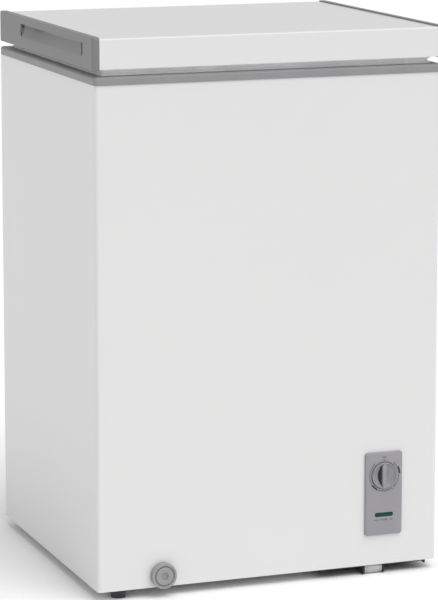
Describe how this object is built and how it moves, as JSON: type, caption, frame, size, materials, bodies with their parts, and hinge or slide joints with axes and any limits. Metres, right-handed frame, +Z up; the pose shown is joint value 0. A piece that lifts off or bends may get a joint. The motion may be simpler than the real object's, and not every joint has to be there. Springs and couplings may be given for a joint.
{
  "type": "chest freezer",
  "caption": "Small upright-proportioned chest freezer with a hinged lid, thermostat dial, front drain, rollers and feet.",
  "frame": {"origin": "on the floor, at the middle of the footprint of the whole object", "axes": "+Z up, -Y towards the front with the control panel, +X to the right seen from the front"},
  "size_m": [0.56, 0.517, 0.845],
  "materials": {
    "white_steel": "satin",
    "coated_wire": "gloss",
    "grey_plastic": "satin",
    "fascia_plastic": "satin",
    "tub_liner": "satin",
    "white_plastic": "gloss",
    "gasket_rubber": "matte",
    "insulation": "matte",
    "galvanised_steel": "satin",
    "black_steel": "satin",
    "copper_pipe": "satin",
    "dark_plastic": "matte",
    "roller_nylon": "satin",
    "lamp_lens": "gloss"
  },
  "bodies": {
    "cabinet": {"cabinet_shell": "white_steel", "back_panel": "white_steel", "bottom_pan": "black_steel", "bay_panel": "galvanised_steel", "tub": "tub_liner", "top_collar": "grey_plastic", "foam_insulation": "insulation", "control_fascia": "fascia_plastic", "thermostat_body": "dark_plastic", "thermostat_sensor": "copper_pipe", "indicator_lens": "lamp_lens", "indicator_lamp": "dark_plastic", "drain_sleeve": "grey_plastic", "drain_hose": "white_plastic", "base_plate": "black_steel", "base_bolt_left": "black_steel", "base_bolt_right": "black_steel", "roller_bracket_front": "black_steel", "roller_pin_front": "galvanised_steel", "roller_bracket_rear": "black_steel", "roller_pin_rear": "galvanised_steel", "compressor": "black_steel", "compressor_grommet_1": "dark_plastic", "compressor_grommet_2": "dark_plastic", "compressor_grommet_3": "dark_plastic", "compressor_grommet_4": "dark_plastic", "terminal_cover": "dark_plastic", "suction_line": "copper_pipe", "evaporator_coil": "copper_pipe", "discharge_line": "copper_pipe", "condenser_coil": "copper_pipe", "filter_drier": "copper_pipe", "capillary_tube": "copper_pipe", "rear_grille": "galvanised_steel", "mains_inlet": "dark_plastic", "hinge_base_left": "galvanised_steel", "hinge_base_right": "galvanised_steel", "hinge_pin_left": "galvanised_steel", "hinge_pin_right": "galvanised_steel", "hinge_spring_left": "galvanised_steel", "hinge_spring_right": "galvanised_steel"},
    "lid": {"lid_skin": "white_steel", "lid_liner": "white_plastic", "lid_foam": "insulation", "lid_gasket": "gasket_rubber", "lid_cap_left": "grey_plastic", "lid_cap_right": "grey_plastic", "hinge_arm_left": "galvanised_steel", "hinge_arm_right": "galvanised_steel"},
    "knob": {"thermostat_knob": "fascia_plastic", "thermostat_shaft": "galvanised_steel"},
    "drain_slider": {"drain_spout": "white_plastic"},
    "drain_cap": {"drain_dial": "grey_plastic"},
    "tub_plug": {"drain_plug": "gasket_rubber"},
    "hanging_basket": {"basket": "coated_wire"},
    "front_roller": {"roller_front": "roller_nylon"},
    "rear_roller": {"roller_rear": "roller_nylon"},
    "front_foot": {"foot_front": "dark_plastic"},
    "rear_foot": {"foot_rear": "dark_plastic"}
  },
  "joints": [
    {"name": "lid_hinge", "type": "hinge", "parent": "cabinet", "child": "lid", "pos_m": [0, 0.24905, 0.797], "axis": [-1, 0, 0], "range_deg": [0, 80]},
    {"name": "thermostat_turn", "type": "hinge", "parent": "cabinet", "child": "knob", "pos_m": [0.1855, -0.25445, 0.156], "axis": [0, 1, 0], "range_deg": [0, 315]},
    {"name": "drain_pull", "type": "slide", "parent": "cabinet", "child": "drain_slider", "axis": [0, -1, 0], "range_m": [0, 0.025]},
    {"name": "drain_turn", "type": "hinge", "parent": "drain_slider", "child": "drain_cap", "pos_m": [-0.1736, -0.25445, 0.0337], "axis": [0, 1, 0], "range_deg": [0, 180]},
    {"name": "plug_lift", "type": "slide", "parent": "cabinet", "child": "tub_plug", "axis": [0, 0, 1], "range_m": [0, 0.03]},
    {"name": "basket_slide", "type": "slide", "parent": "cabinet", "child": "hanging_basket", "axis": [1, 0, 0], "range_m": [0, 0.228]},
    {"name": "front_roller_spin", "type": "hinge", "parent": "cabinet", "child": "front_roller", "pos_m": [0.1715, -0.23645, 0.009], "axis": [1, 0, 0], "continuous": true},
    {"name": "rear_roller_spin", "type": "hinge", "parent": "cabinet", "child": "rear_roller", "pos_m": [0.1715, 0.22755, 0.009], "axis": [1, 0, 0], "continuous": true},
    {"name": "front_foot_screw", "type": "slide", "parent": "cabinet", "child": "front_foot", "axis": [0, 0, -1], "range_m": [0, 0.01]},
    {"name": "rear_foot_screw", "type": "slide", "parent": "cabinet", "child": "rear_foot", "axis": [0, 0, -1], "range_m": [0, 0.01]}
  ]
}
